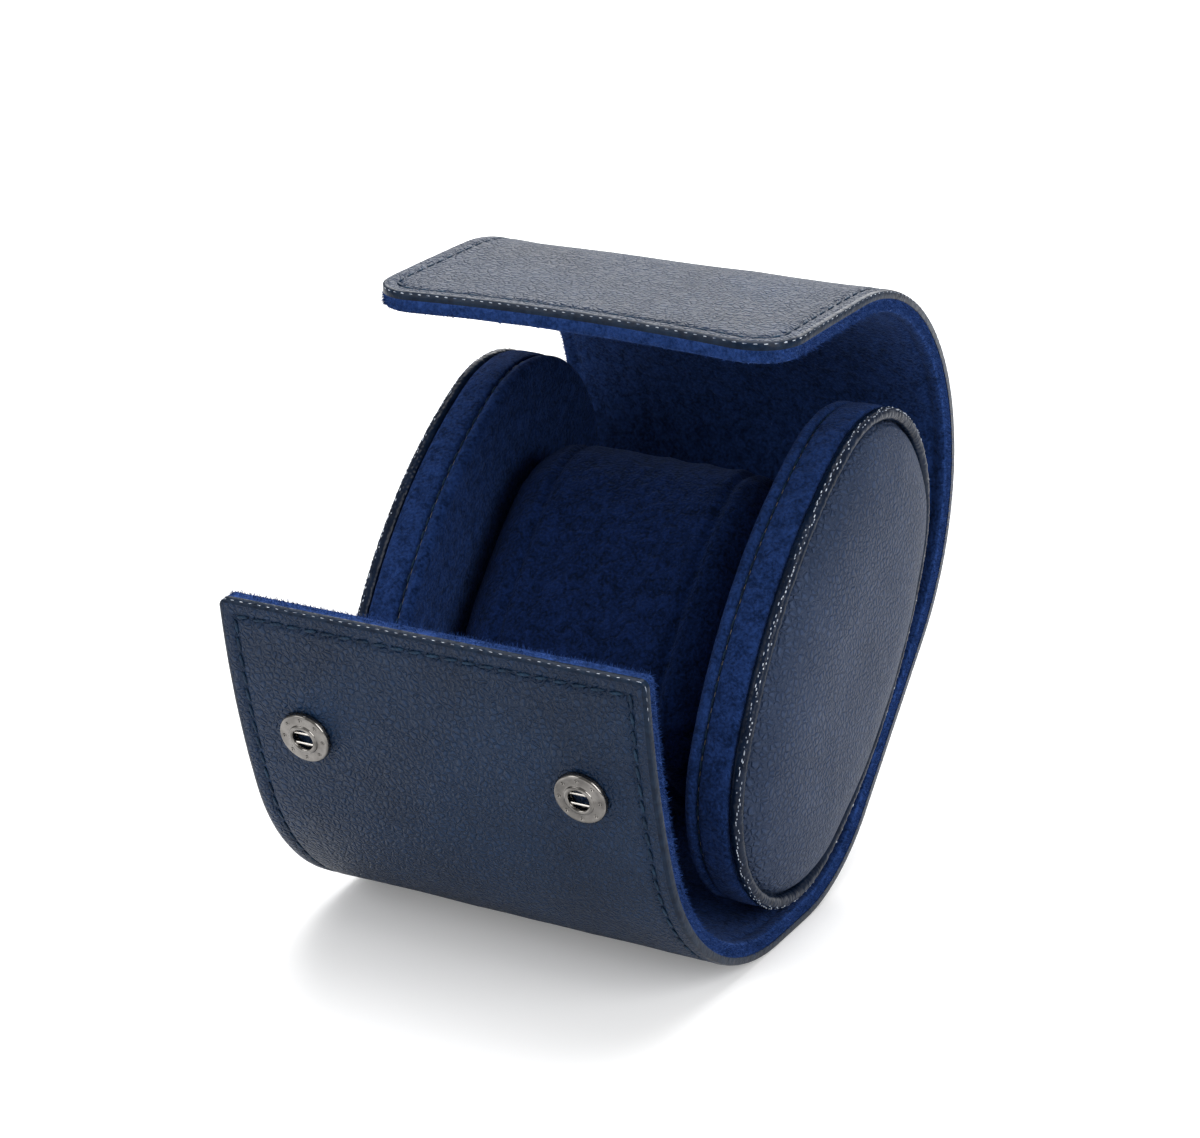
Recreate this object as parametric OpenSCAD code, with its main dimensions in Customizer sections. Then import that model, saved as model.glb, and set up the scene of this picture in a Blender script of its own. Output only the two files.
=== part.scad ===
// Watch roll: a leather wrap bent round two oval end caps, with a watch cushion between them.
// Millimetres. X runs along the roll, Y to the back, Z up.
// The origin is the middle of the flat that the open roll stands on.

/* [Wrap sheet] */
// Width of the wrap, along the roll
wrap_width = 86; // [76:1:110]
// Thickness of the outer leather
leather = 1.4; // [1:0.1:2]
// Thickness of the stiffening board
board = 1.2; // [0.8:0.1:1.6]
// Thickness of the suede lining, with the pocket for the board
lining = 3; // [2.4:0.1:4]
// Distance that the boards stop short of the cut edges
board_margin = 6; // [4.5:0.5:9]
// Distance that the boards stop short of a fold
board_fold_margin = 3; // [2:0.5:5]

/* [Wrap outline] */
// Length of the flat that the roll stands on
base_flat = 12; // [8:1:20]
// Radius of the curve from the base up to the front flap
front_radius = 48; // [44:1:60]
// Angle of that curve
front_turn = 70; // [60:1:76]
// Radius of the gentle curve of the front flap
flap_radius = 190; // [150:5:300]
// Length of that gentle curve
flap_length = 42.1; // [34:0.1:50]
// Radius of the heel, from the base up to the back
heel_radius = 38; // [36:1:46]
// Angle of the heel
heel_turn = 46; // [38:1:50]
// Length of the straight back
back_length = 38; // [32:1:50]
// Radius of the curve from the back over to the top flap
crown_radius = 46.8; // [44:0.2:60]
// Length of the flat top flap
top_length = 36.7; // [30:0.1:46]
// Corner radius of the top flap
top_corner_radius = 10; // [4:1:16]

/* [Folds] */
// Distance along the wrap from the base to the front bend
front_bend_at = 9; // [7:0.5:12]
// Distance along the wrap from the base to the front flap's fold
front_flap_at = 60; // [52:1:66]
// Distance along the wrap from the base to the back's fold
top_back_at = 71; // [62:1:74]
// Distance along the wrap from the base to the fold in the crown
top_mid_at = 124; // [112:1:140]
// Distance along the wrap from the base to the top flap's fold
top_flap_at = 195; // [186:1:198]
// Slit between two stretches of the wrap at a fold
fold_slit = 0.3; // [0.2:0.1:0.6]

/* [End caps] */
// Half length of the oval caps
cap_half_length = 50; // [46:1:56]
// Half breadth of the oval caps
cap_half_breadth = 32; // [30:0.5:34]
// Radius of the caps' round ends
cap_end_radius = 28; // [24:1:29]
// Lean of the caps to the back, from upright
cap_lean = 42; // [36:1:50]
// Depth of a cap along the roll, up to its rolled rim
cap_depth = 12; // [10:0.5:18]
// Where along the wrap the caps touch the back
cap_seat_at = 51.8; // [46:0.2:58]
// Gap between the caps and the lining at that place
cap_seat_gap = 0.25; // [0.1:0.05:0.6]
// Depth of the rim of the inner panel, up to its seam
inner_rim_depth = 3; // [2.5:0.5:5]
// Thickness of the suede on the caps
cap_suede = 1.2; // [0.8:0.1:1.6]
// Thickness of the boards in the caps
cap_board = 1.8; // [1.2:0.1:2.4]
// Thickness of the hoop that spaces the two boards
hoop_wall = 2; // [1.5:0.5:3]
// Depth of the rolled leather rim
rim_depth = 2.7; // [2:0.1:3.5]
// Width of the rolled leather rim
rim_width = 2.6; // [2:0.1:3.5]
// Rise of the padded face above the rim
pad_crown = 4.5; // [2:0.5:7]
// Thickness of the leather on the padded face
pad_leather = 1.1; // [0.8:0.1:1.6]

/* [Cushion] */
// Half length of the cushion's section
cushion_half_length = 32.5; // [28:0.5:34]
// Height of the cushion's face in front of the caps' middle
cushion_front = 20.5; // [16:0.5:24]
// Gap between the cushion's ends and the caps
cushion_side_gap = 2; // [0.5:0.5:4]
// Gap between the cushion and the lining that it lies on
cushion_seat_gap = 0.4; // [0.3:0.1:1]
// Thickness of the suede cover
cushion_cover_wall = 1.2; // [0.8:0.1:2]
// Length of each rounded end
cushion_end_length = 11; // [8:1:14]
// How far the rounded ends draw in
cushion_end_inset = 11; // [6:1:13]

/* [Snaps] */
// Distance of the snaps from the middle of the roll
snap_x = 28.3; // [20:0.1:34]
// Distance of the sockets from the front flap's edge
socket_from_edge = 26; // [18:1:32]
// Distance of the studs from the top flap's edge
stud_from_edge = 10; // [8:0.5:14]
// Radius of a socket's ring
socket_radius = 5.2; // [4.5:0.1:6.5]
// Height of a socket's ring
socket_height = 1.5; // [1.2:0.1:2]
// Radius of the hole in a socket
socket_hole_radius = 2; // [1.9:0.05:2.4]
// Dimples round a socket
socket_dimples = 8; // [6:1:12]
// Radius of a stud's head
stud_head_radius = 1.8; // [1.6:0.05:1.85]
// Height of a stud over its foot
stud_height = 1.8; // [1.6:0.1:2.6]

/* [Hidden] */
$fn = 120;

leather_colour = "#33466b";
suede_colour = "#1c3678";
board_colour = "#9a8b6d";
foam_colour = "#d8d2c0";
gunmetal_colour = "#5c5d62";

// The wrap is a sheet whose layers are measured inwards from the leather's outer face
wrap_thickness = leather + lining;
crown_turn = 180 - heel_turn;
flap_turn = flap_length / flap_radius * 180 / PI;
small = 0.02;
glue_gap = 0.1;

// Each branch of the wrap starts at the middle of the base: runs of [length, turn in degrees]
function arc_run(radius, turn) = [radius * turn * PI / 180, turn];
front_runs = [[base_flat / 2, 0], arc_run(front_radius, front_turn), [flap_length, flap_turn]];
back_runs = [[base_flat / 2, 0], arc_run(heel_radius, heel_turn), [back_length, 0],
             arc_run(crown_radius, crown_turn), [top_length, 0]];
function total(runs, i = 0) = i == len(runs) ? 0 : runs[i][0] + total(runs, i + 1);
front_end = total(front_runs);
back_end = total(back_runs);

// Place along a branch: [y, z, heading]
function moved(place, length, turn) =
    turn == 0
    ? [place[0] + length * cos(place[2]), place[1] + length * sin(place[2]), place[2]]
    : let (radius = length / turn * 180 / PI, heading = place[2] + turn)
      [place[0] + radius * (sin(heading) - sin(place[2])),
       place[1] - radius * (cos(heading) - cos(place[2])), heading];
function place_at(runs, s, i = 0, place = [0, 0, 0]) =
    i == len(runs) || s <= 0 ? place
    : s < runs[i][0] ? moved(place, s, runs[i][1] * s / runs[i][0])
    : place_at(runs, s - runs[i][0], i + 1, moved(place, runs[i][0], runs[i][1]));
function run_start(runs, i) = i == 0 ? 0 : runs[i - 1][0] + run_start(runs, i - 1);

// The stretches of the wrap between folds: [branch, from, to] for each branch that they are on
half_slit = fold_slit / 2;
wrap_base = [["front", 0, front_bend_at - half_slit], ["back", 0, top_back_at - half_slit]];
front_bend = [["front", front_bend_at + half_slit, front_flap_at - half_slit]];
front_flap = [["front", front_flap_at + half_slit, front_end]];
top_back = [["back", top_back_at + half_slit, top_mid_at - half_slit]];
top_mid = [["back", top_mid_at + half_slit, top_flap_at - half_slit]];
top_flap = [["back", top_flap_at + half_slit, back_end]];

// Where a board ends along a stretch: short of a fold or of a cut edge
function board_from(span) = span[1] == 0 ? 0 : span[1] + board_fold_margin;
function board_to(span) =
    span[2] - (span[2] == front_end || span[2] == back_end ? board_margin : board_fold_margin);

module on_branch(branch) {
    mirror([0, branch == "front" ? 1 : 0, 0]) children();
}

module at_place(place) {
    translate([0, place[0], place[1]]) rotate([place[2], 0, 0]) children();
}

// Distances along a branch at which a curved run's section has a corner: all layers share them
curve_step = 1.5;
function stations(runs, from, to) = concat(
    [for (i = [0 : len(runs) - 1])
        let (start = run_start(runs, i), end = start + runs[i][0],
             count = runs[i][1] == 0 ? 1 : ceil(runs[i][0] / curve_step))
        for (k = [0 : count - 1])
            let (s = start + runs[i][0] * k / count)
            if (s > from + small && s < to - small) s],
    [to]);
function inward(place, depth) = [place[0] - depth * sin(place[2]), place[1] + depth * cos(place[2])];

// A layer of the wrap between two depths below the leather's face
module strip(branch, from, to, low, high, width) {
    runs = branch == "front" ? front_runs : back_runs;
    line = concat([from], stations(runs, from, to));
    outer = [for (s = line) inward(place_at(runs, s), low)];
    inner = [for (i = [len(line) - 1 : -1 : 0]) inward(place_at(runs, line[i]), high)];
    on_branch(branch) rotate([90, 0, 90]) linear_extrude(width, center = true)
        polygon(concat(outer, inner));
}

// Plan outline of the top flap's free end, drawn in by a margin
flap_front_y = place_at(back_runs, back_end)[0];
module flap_plan(margin) {
    half = wrap_width / 2 - margin;
    round = max(top_corner_radius - margin, 1);
    reach = 4 * crown_radius;
    front = flap_front_y + margin;
    union() {
        translate([-half, front + round]) square([2 * half, reach]);
        translate([-half + round, front]) square([2 * (half - round), reach]);
        for (side = [-1, 1])
            translate([side * (half - round), front + round]) circle(round);
    }
}

module wrap_layer(stretch, low, high, margin = 0) {
    for (span = stretch)
        strip(span[0], margin == 0 ? span[1] : board_from(span), margin == 0 ? span[2] : board_to(span),
              low, high, wrap_width - 2 * margin);
}

// Sockets stand on the front flap and studs under the top flap, a pair each
socket_place = place_at(front_runs, front_end - socket_from_edge);
stud_place = place_at(back_runs, back_end - stud_from_edge);
eyelet_radius = 2.4;
eyelet_flange_radius = 4;
flange_thickness = 0.6;
rivet_radius = 1.1;
bore_gap = 0.1;
// The curved board is spot-faced by this much, so that the flat flanges lie on it
flange_seat = 0.06;

module at_sockets() {
    on_branch("front") at_place(socket_place)
        for (side = [-1, 1]) translate([side * snap_x, 0, 0]) children();
}

module at_studs() {
    at_place(stud_place)
        for (side = [-1, 1]) translate([side * snap_x, 0, 0]) children();
}

module socket_hole(low, high, radius) {
    at_sockets() translate([0, 0, low]) cylinder(r = radius, h = high - low);
}

module stud_hole(low, high, radius) {
    at_studs() translate([0, 0, low]) cylinder(r = radius, h = high - low);
}

module wrap_leather(stretch) {
    color(leather_colour) wrap_layer(stretch, 0, leather);
}

module wrap_board(stretch) {
    color(board_colour) wrap_layer(stretch, leather, leather + board, board_margin);
}

module wrap_lining(stretch) {
    color(suede_colour) difference() {
        wrap_layer(stretch, leather, wrap_thickness);
        wrap_layer(stretch, leather - small, leather + board, board_margin - glue_gap);
    }
}

module front_flap_leather() {
    color(leather_colour) difference() {
        wrap_leather(front_flap);
        socket_hole(-1, leather + 1, eyelet_radius + bore_gap);
    }
}

module front_flap_board() {
    color(board_colour) difference() {
        wrap_board(front_flap);
        socket_hole(0, wrap_thickness, eyelet_radius + bore_gap);
        socket_hole(leather + board - flange_seat, wrap_thickness, eyelet_flange_radius + bore_gap);
    }
}

module front_flap_lining() {
    color(suede_colour) difference() {
        wrap_lining(front_flap);
        socket_hole(leather, leather + board + flange_thickness + bore_gap,
                    eyelet_flange_radius + bore_gap);
    }
}

module top_flap_leather() {
    color(leather_colour) intersection() {
        wrap_leather(top_flap);
        linear_extrude(4 * crown_radius) flap_plan(0);
    }
}

module top_flap_board() {
    color(board_colour) difference() {
        intersection() {
            wrap_board(top_flap);
            linear_extrude(4 * crown_radius) flap_plan(board_margin);
        }
        stud_hole(0, leather + flange_thickness + bore_gap, eyelet_flange_radius + bore_gap);
        stud_hole(0, wrap_thickness, rivet_radius + bore_gap);
    }
}

module top_flap_lining() {
    color(suede_colour) difference() {
        intersection() {
            wrap_layer(top_flap, leather, wrap_thickness);
            linear_extrude(4 * crown_radius) flap_plan(0);
        }
        intersection() {
            wrap_layer(top_flap, leather - small, leather + board, board_margin - glue_gap);
            linear_extrude(4 * crown_radius) flap_plan(board_margin - glue_gap);
        }
        stud_hole(0, leather + flange_thickness + bore_gap, eyelet_flange_radius + bore_gap);
        stud_hole(0, wrap_thickness + 1, rivet_radius + bore_gap);
    }
}

// A socket's ring, seen from the side: flat below, with round shoulders
socket_shoulder = 0.7;
dimple_radius = 0.45;
spring_wire_radius = 0.25;
spring_offset = socket_hole_radius * 0.55;
spring_height = socket_height * 0.55;
module socket_section() {
    union() {
        translate([socket_hole_radius, 0])
            square([socket_radius - socket_hole_radius, socket_height - socket_shoulder]);
        translate([socket_hole_radius, 0])
            square([socket_radius - socket_shoulder - socket_hole_radius, socket_height]);
        translate([socket_radius - socket_shoulder, socket_height - socket_shoulder])
            circle(socket_shoulder, $fn = 48);
    }
}

module at_springs() {
    for (side = [-1, 1])
        translate([0, side * spring_offset, spring_height]) rotate([0, 90, 0]) children();
}

module snap_sockets() {
    color(gunmetal_colour) at_sockets() rotate([180, 0, 0]) difference() {
        rotate_extrude() socket_section();
        translate([0, 0, -1]) cylinder(r = eyelet_radius + bore_gap, h = 1 + spring_height / 2);
        for (i = [0 : socket_dimples - 1])
            rotate(i * 360 / socket_dimples)
                translate([(socket_radius + socket_hole_radius) / 2, 0, socket_height + dimple_radius / 3])
                    sphere(dimple_radius, $fn = 24);
        at_springs() cylinder(r = spring_wire_radius + 0.05, h = 2 * eyelet_flange_radius, center = true);
    }
}

// Two springy wires cross each socket and close round the stud's neck
module socket_springs() {
    color("silver") at_sockets() rotate([180, 0, 0])
        at_springs() cylinder(r = spring_wire_radius, h = 2 * eyelet_flange_radius - 0.2, center = true);
}

// Eyelets come up from under the board and are spread inside the sockets
module socket_eyelets() {
    top = spring_height / 2 - bore_gap;
    color(gunmetal_colour) at_sockets() difference() {
        union() {
            translate([0, 0, leather + board])
                cylinder(r = eyelet_flange_radius, h = flange_thickness);
            translate([0, 0, -top])
                cylinder(r = eyelet_radius, h = top + leather + board + small);
        }
        translate([0, 0, -2]) cylinder(r = socket_hole_radius, h = 2 + wrap_thickness);
    }
}

stud_foot_radius = 4.4;
stud_foot = 0.5;
module snap_studs() {
    neck_radius = stud_head_radius - 0.3;
    color(gunmetal_colour) at_studs() translate([0, 0, wrap_thickness]) difference() {
        union() {
            cylinder(r = stud_foot_radius, h = stud_foot);
            cylinder(r = neck_radius, h = stud_foot + stud_height - stud_head_radius);
            intersection() {
                translate([0, 0, stud_foot + stud_height - stud_head_radius]) sphere(stud_head_radius);
                translate([-5, -5, 0]) cube([10, 10, stud_foot + stud_height - 0.2]);
            }
        }
        translate([0, 0, -1]) cylinder(r = rivet_radius + bore_gap, h = 1 + stud_foot + 0.6);
    }
}

module stud_rivets() {
    color(gunmetal_colour) at_studs() translate([0, 0, leather]) {
        cylinder(r = eyelet_flange_radius, h = flange_thickness);
        cylinder(r = rivet_radius, h = lining + stud_foot + 0.5);
    }
}

// The caps are four-centre ovals: two end arcs and two side arcs that meet smoothly
cap_side_radius = (pow(cap_half_length - cap_end_radius, 2) + pow(cap_half_breadth, 2)
                   - pow(cap_end_radius, 2)) / (2 * (cap_half_breadth - cap_end_radius));
end_centre = cap_half_length - cap_end_radius;
side_centre = cap_side_radius - cap_half_breadth;
arc_joint_angle = atan2(side_centre, end_centre);

// The caps' long axis leans back; they touch the straight back at one place along the wrap
back_heading = place_at(back_runs, cap_seat_at)[2];
seat_y = place_at(back_runs, cap_seat_at)[0];
seat_z = place_at(back_runs, cap_seat_at)[1];
seat_depth = wrap_thickness + cap_seat_gap + cap_side_radius;
cap_y = seat_y - seat_depth * sin(back_heading) + side_centre * cos(cap_lean);
cap_z = seat_z + seat_depth * cos(back_heading) - side_centre * sin(cap_lean);

// Side X of the parts of a cap, from the inner face out
inner_face_x = wrap_width / 2 - cap_depth;
seam_x = inner_face_x + inner_rim_depth;
rim_x = wrap_width / 2 - rim_depth;
outer_board_x = rim_x + 0.3 - cap_board;
pad_base_x = outer_board_x + cap_board;

// Cap space: x along the oval's long axis, y towards the open front, z out along the roll
module in_cap(side) {
    mirror([side < 0 ? 1 : 0, 0, 0])
        translate([0, cap_y, cap_z]) rotate([90 - cap_lean, 0, 0])
            multmatrix([[0, 0, 1, 0], [1, 0, 0, 0], [0, 1, 0, 0], [0, 0, 0, 1]]) children();
}

module oval(inset) {
    end_radius = cap_end_radius - inset;
    side_radius = cap_side_radius - inset;
    joint_x = end_centre + end_radius * cos(arc_joint_angle);
    union() {
        intersection() {
            translate([0, side_centre]) circle(side_radius);
            translate([0, -side_centre]) circle(side_radius);
            square([2 * joint_x, 2 * cap_half_breadth], center = true);
        }
        for (end = [-1, 1])
            translate([end * end_centre, 0]) circle(end_radius);
    }
}

// Sweeps a section round the oval; the section's x is measured in from the oval's edge
module oval_sweep() {
    side_angle = 180 - 2 * arc_joint_angle;
    for (turn = [0, 180]) rotate(turn) {
        translate([end_centre, 0, 0]) rotate(-arc_joint_angle)
            rotate_extrude(angle = 2 * arc_joint_angle)
                translate([cap_end_radius, 0]) mirror([1, 0]) children();
        translate([0, -side_centre, 0]) rotate(arc_joint_angle)
            rotate_extrude(angle = side_angle)
                translate([cap_side_radius, 0]) mirror([1, 0]) children();
    }
}

// The inner panel is a suede tray: its rim is folded back as far as the seam
module cap_inner_panel(side) {
    color(suede_colour) in_cap(side) translate([0, 0, inner_face_x]) difference() {
        linear_extrude(inner_rim_depth - glue_gap) oval(0);
        translate([0, 0, cap_suede]) linear_extrude(inner_rim_depth) oval(cap_suede);
    }
}

module cap_inner_board(side) {
    color(board_colour) in_cap(side)
        translate([0, 0, inner_face_x + cap_suede]) linear_extrude(cap_board) oval(cap_suede);
}

module cap_hoop(side) {
    low = inner_face_x + cap_suede + cap_board;
    color(board_colour) in_cap(side) oval_sweep()
        translate([cap_suede, low]) square([hoop_wall, outer_board_x - low]);
}

module cap_band(side) {
    band_inset = 0.3;
    color(suede_colour) in_cap(side) oval_sweep()
        translate([band_inset, seam_x]) square([cap_suede - band_inset, rim_x - seam_x]);
}

module cap_outer_board(side) {
    color(board_colour) in_cap(side)
        translate([0, 0, outer_board_x]) linear_extrude(cap_board) oval(cap_suede);
}

// The rim is leather rolled over the edge, with two round shoulders
module cap_rim(side) {
    shoulder = 0.7;
    color(leather_colour) in_cap(side) oval_sweep()
        difference() {
            union() {
                translate([shoulder, rim_x]) square([rim_width - shoulder, rim_depth]);
                translate([0, rim_x + shoulder]) square([rim_width, rim_depth - 2 * shoulder]);
                for (x = [rim_x + shoulder, rim_x + rim_depth - shoulder])
                    translate([shoulder, x]) circle(shoulder, $fn = 32);
            }
            translate([cap_suede - glue_gap, rim_x - 1])
                square([rim_width, 1 + pad_base_x - rim_x]);
        }
}

// Points round the oval at an inset and a height, evenly spaced along each of its four arcs
oval_points = 48;
function oval_ring(inset, height) =
    let (n = oval_points / 4, side_angle = 180 - 2 * arc_joint_angle)
    [for (turn = [0, 180]) for (arc = [0, 1]) for (i = [0 : n - 1])
        let (angle = arc == 0 ? -arc_joint_angle + 2 * arc_joint_angle * i / n
                              : arc_joint_angle + side_angle * i / n,
             radius = (arc == 0 ? cap_end_radius : cap_side_radius) - inset,
             x = (arc == 0 ? end_centre : 0) + radius * cos(angle),
             y = (arc == 0 ? 0 : -side_centre) + radius * sin(angle))
        [x * cos(turn) - y * sin(turn), x * sin(turn) + y * cos(turn), height]];

function middle(ring) = [for (axis = [0 : 2]) (min([for (p = ring) p[axis]]) + max([for (p = ring) p[axis]])) / 2];

// Faces between neighbouring rings of n points, as triangles
function band_faces(n, low, high) =
    [for (i = [0 : n - 1]) let (next = (i + 1) % n)
        each [[low + i, low + next, high + next], [low + i, high + next, high + i]]];

// A closed solid through a list of rings, with a point in the middle of the first and last
module ring_solid(rings) {
    n = len(rings[0]);
    count = len(rings);
    points = concat([for (ring = rings) each ring], [middle(rings[0]), middle(rings[count - 1])]);
    faces = concat(
        [for (k = [0 : count - 2]) each band_faces(n, k * n, (k + 1) * n)],
        [for (i = [0 : n - 1]) [(i + 1) % n, i, n * count]],
        [for (i = [0 : n - 1]) [(count - 1) * n + i, (count - 1) * n + (i + 1) % n, n * count + 1]]);
    polyhedron(points = points, faces = [for (face = faces) [face[2], face[1], face[0]]]);
}

// A closed tube: the last ring joins the first
module ring_tube(rings) {
    n = len(rings[0]);
    count = len(rings);
    faces = [for (k = [0 : count - 1]) each band_faces(n, k * n, ((k + 1) % count) * n)];
    polyhedron(points = [for (ring = rings) each ring],
               faces = [for (face = faces) [face[2], face[1], face[0]]]);
}

// The pad swells from its edge in a quarter ellipse, then in a low crown to the middle
pad_inset = rim_width + 0.15;
pad_height = rim_x + rim_depth + pad_crown - pad_base_x;
pad_shoulder = 9;
pad_reach = cap_end_radius - 4;
pad_low_crown = 0.6;
pad_steps = 7;
function pad_rise(inward) =
    let (across = min(inward / pad_shoulder, 1), over = min(inward / pad_reach, 1))
    (1 - pad_low_crown / pad_height) * sqrt(1 - pow(1 - across, 2))
    + pad_low_crown / pad_height * (1 - pow(1 - over, 2));
function pad_rings(skin) =
    [for (i = [0 : pad_steps])
        let (inward = (pad_reach - pad_inset) * (1 - cos(90 * i / pad_steps)),
             shrink = skin * (1 - min(inward / pad_shoulder, 1)))
        oval_ring(pad_inset + inward + shrink, pad_base_x + (pad_height - skin) * pad_rise(inward))];

module cap_pad_foam(side) {
    color(foam_colour) in_cap(side) ring_solid(pad_rings(pad_leather + 0.05));
}

module cap_pad_leather(side) {
    outer = pad_rings(0);
    inner = pad_rings(pad_leather);
    color(leather_colour) in_cap(side)
        ring_solid(concat([for (i = [pad_steps : -1 : 0]) outer[i]], inner));
}

// The cushion lies on the straight back: its section is a superellipse in cap space
cushion_power = 3.2;
cushion_points = 36;
lean_to_back = back_heading - (90 - cap_lean);
back_wall = (cap_side_radius + cap_seat_gap) / cos(lean_to_back) - side_centre;
cushion_back = back_wall - cushion_seat_gap;
cushion_middle = (cushion_front - cushion_back) / 2;
cushion_half_depth = (cushion_front + cushion_back) / 2;
cushion_half_width = inner_face_x - cushion_side_gap;
sleeve_half_width = cushion_half_width - cushion_end_length;
sleeve_draw_in = 0.8;
function power_of(value) = sign(value) * pow(abs(value), 2 / cushion_power);
function cushion_ring(inset, height) =
    [for (i = [0 : cushion_points - 1]) let (angle = 360 * i / cushion_points)
        [(cushion_half_length - inset) * power_of(cos(angle)),
         cushion_middle + (cushion_half_depth - inset) * power_of(sin(angle)), height]];
sleeve_steps = 3;
function sleeve_rings(skin) =
    [for (i = [-sleeve_steps : sleeve_steps])
        cushion_ring(skin + sleeve_draw_in * pow(i / sleeve_steps, 2), sleeve_half_width * i / sleeve_steps)];
end_steps = 5;
function end_rings(skin) =
    [for (i = [0 : end_steps])
        cushion_ring(skin + sleeve_draw_in + (cushion_end_inset - skin / 2) * (1 - cos(90 * i / end_steps)),
                     sleeve_half_width + (cushion_end_length - skin) * sin(90 * i / end_steps))];

module cushion_cover() {
    outer = sleeve_rings(0);
    inner = sleeve_rings(cushion_cover_wall);
    last = 2 * sleeve_steps;
    color(suede_colour) in_cap(1)
        ring_tube(concat(outer, [for (i = [last : -1 : 0]) inner[i]]));
}

module cushion_ends() {
    outer = end_rings(0);
    inner = end_rings(cushion_cover_wall);
    color(suede_colour) for (side = [-1, 1]) in_cap(side)
        ring_solid(concat([for (i = [end_steps : -1 : 0]) outer[i]], inner));
}

module cushion_core() {
    skin = cushion_cover_wall + 0.05;
    half = concat(end_rings(skin));
    color(foam_colour) in_cap(1)
        ring_solid(concat([for (i = [end_steps : -1 : 1]) [for (p = half[i]) [p[0], p[1], -p[2]]]],
                          sleeve_rings(skin),
                          [for (i = [1 : end_steps]) half[i]]));
}

wrap_leather(wrap_base);  // wrap_base_leather
wrap_board(wrap_base);  // wrap_base_board
wrap_lining(wrap_base);  // wrap_base_lining
wrap_leather(front_bend);  // front_bend_leather
wrap_board(front_bend);  // front_bend_board
wrap_lining(front_bend);  // front_bend_lining
front_flap_leather();
front_flap_board();
front_flap_lining();
wrap_leather(top_back);  // top_back_leather
wrap_board(top_back);  // top_back_board
wrap_lining(top_back);  // top_back_lining
wrap_leather(top_mid);  // top_mid_leather
wrap_board(top_mid);  // top_mid_board
wrap_lining(top_mid);  // top_mid_lining
top_flap_leather();
top_flap_board();
top_flap_lining();
snap_sockets();
socket_springs();
socket_eyelets();
snap_studs();
stud_rivets();
cap_inner_panel(-1);  // left_cap_inner_panel
cap_inner_board(-1);  // left_cap_inner_board
cap_hoop(-1);  // left_cap_hoop
cap_band(-1);  // left_cap_band
cap_outer_board(-1);  // left_cap_outer_board
cap_rim(-1);  // left_cap_rim
cap_pad_foam(-1);  // left_cap_pad_foam
cap_pad_leather(-1);  // left_cap_pad_leather
cap_inner_panel(1);  // right_cap_inner_panel
cap_inner_board(1);  // right_cap_inner_board
cap_hoop(1);  // right_cap_hoop
cap_band(1);  // right_cap_band
cap_outer_board(1);  // right_cap_outer_board
cap_rim(1);  // right_cap_rim
cap_pad_foam(1);  // right_cap_pad_foam
cap_pad_leather(1);  // right_cap_pad_leather
cushion_cover();
cushion_ends();
cushion_core();
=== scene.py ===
import math
import bmesh
import bpy
from mathutils import Matrix, Vector, noise


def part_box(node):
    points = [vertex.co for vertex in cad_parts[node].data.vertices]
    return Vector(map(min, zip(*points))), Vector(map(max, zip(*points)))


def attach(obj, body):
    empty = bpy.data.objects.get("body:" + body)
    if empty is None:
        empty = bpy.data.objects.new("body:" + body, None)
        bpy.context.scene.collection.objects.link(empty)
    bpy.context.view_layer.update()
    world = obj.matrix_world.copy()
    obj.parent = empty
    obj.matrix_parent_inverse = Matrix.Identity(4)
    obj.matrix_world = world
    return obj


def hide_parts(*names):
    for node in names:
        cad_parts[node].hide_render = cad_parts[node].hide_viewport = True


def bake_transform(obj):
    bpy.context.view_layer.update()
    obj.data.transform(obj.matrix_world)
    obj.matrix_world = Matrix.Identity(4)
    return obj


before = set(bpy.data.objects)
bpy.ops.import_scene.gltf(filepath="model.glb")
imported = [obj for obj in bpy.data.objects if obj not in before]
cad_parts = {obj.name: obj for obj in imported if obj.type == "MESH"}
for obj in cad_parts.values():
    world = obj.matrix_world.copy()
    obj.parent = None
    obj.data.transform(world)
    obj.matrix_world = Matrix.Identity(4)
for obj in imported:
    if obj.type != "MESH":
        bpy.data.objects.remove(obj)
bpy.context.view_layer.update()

# Camera
# The photograph was taken from the right of the case's front, a little above it, with a long lens.
MM = 0.001
CAMERA_AZIMUTH = math.radians(28.37)
CAMERA_HEIGHT_ANGLE = math.radians(20.01)
CAMERA_PLACE = Vector((279.3, -514.3, 279.0)) * MM
CAMERA_LENS = 99.14


def camera_axes(azimuth, elevation):
    right = Vector((math.cos(azimuth), math.sin(azimuth), 0))
    back = Vector((math.sin(azimuth) * math.cos(elevation),
                   -math.cos(azimuth) * math.cos(elevation), math.sin(elevation)))
    return Matrix((right, back.cross(right), back)).transposed()


camera = bpy.data.objects.new("camera", bpy.data.cameras.new("camera"))
camera.data.lens = CAMERA_LENS
camera.data.sensor_width = 36
camera.data.clip_start = 0.01
turned = camera_axes(CAMERA_AZIMUTH, CAMERA_HEIGHT_ANGLE).to_4x4()
camera.matrix_world = Matrix.Translation(CAMERA_PLACE) @ turned
bpy.context.scene.collection.objects.link(camera)
bpy.context.scene.camera = camera

# Table and studio light
# A plain white table top that fades to a white backdrop.
# Soft boxes hang over the case, behind it, at its right and at its front left.
FLOOR_SIZE = 30.0
FLOOR_GLOW = 0.17
FADE_START, FADE_END = 0.25, 0.9
ROOM_LIGHT = 0.42
CASE_MIDDLE = (0.0, 0.0, 0.06)


def new_material(name):
    material = bpy.data.materials.new(name)
    material.use_nodes = True
    tree = material.node_tree
    shader = tree.nodes["Principled BSDF"]
    return material, tree, shader


def add_node(tree, kind, **values):
    """A node with these values in its inputs, or in its own settings."""
    node = tree.nodes.new(kind)
    for key, value in values.items():
        if key in node.inputs:
            node.inputs[key].default_value = value
        else:
            setattr(node, key, value)
    return node


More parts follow.
